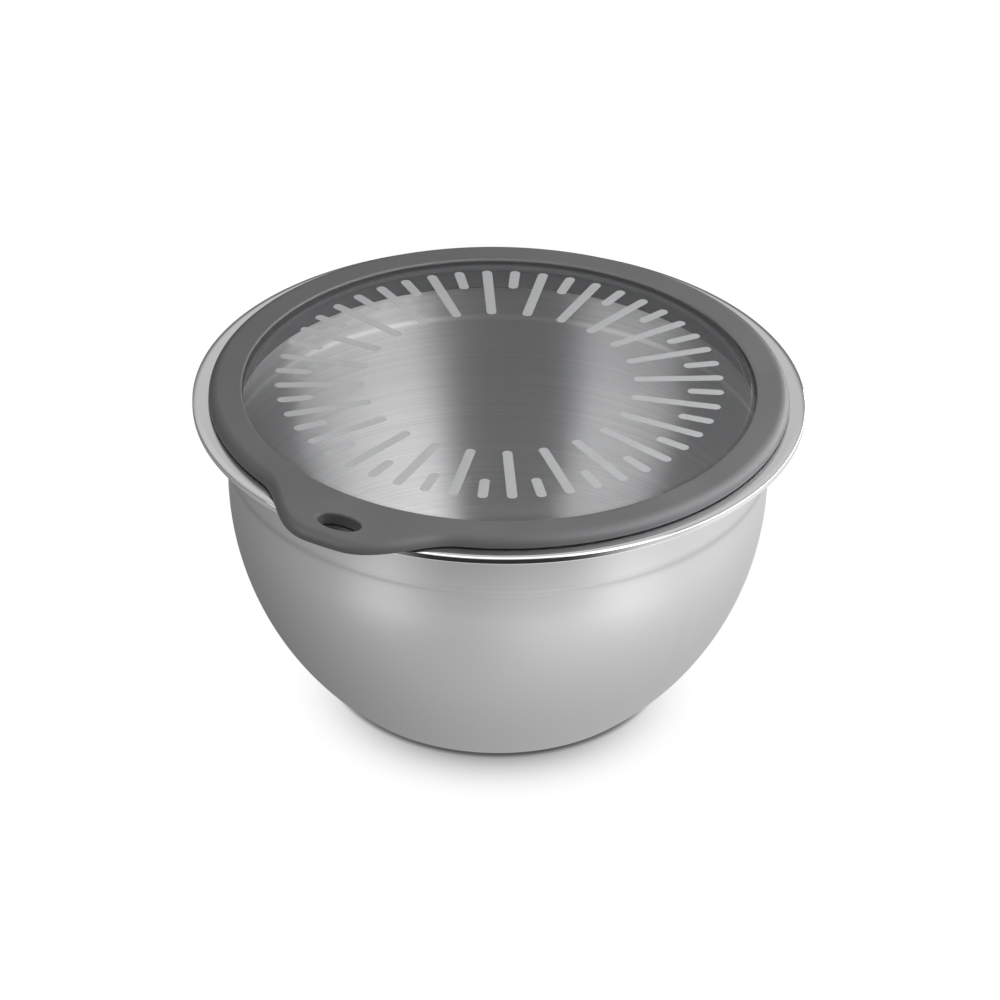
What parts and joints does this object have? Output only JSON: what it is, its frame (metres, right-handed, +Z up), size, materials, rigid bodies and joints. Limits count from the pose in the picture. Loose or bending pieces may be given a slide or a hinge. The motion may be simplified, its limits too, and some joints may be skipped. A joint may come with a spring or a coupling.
{
  "type": "mixing bowl",
  "caption": "Stainless steel mixing bowl with a flat base, a wide rolled rim and a lift-off lid: a clear window in a grey ring with a pull tab.",
  "frame": {"origin": "centre of the flat base, on the surface that the bowl stands on", "axes": "+Z up along the bowl's axis, -Y towards the viewer of the picture; the lid's pull tab points to azimuth 240 degrees from +X"},
  "size_m": [0.228, 0.228, 0.1251],
  "materials": {
    "steel": "satin outside, brushed round and round inside, polished on the rolled rim",
    "soft_grey": "matte, smooth",
    "clear_window": "glossy clear plastic with a pale grey print"
  },
  "bodies": {
    "bowl": {"bowl": "steel"},
    "lid": {"lid_ring": "soft_grey", "lid_window": "clear_window"}
  },
  "joints": [
    {"name": "lid_lift", "type": "slide", "parent": "bowl", "child": "lid", "axis": [0, 0, 1], "range_m": [0, 0.15]}
  ]
}
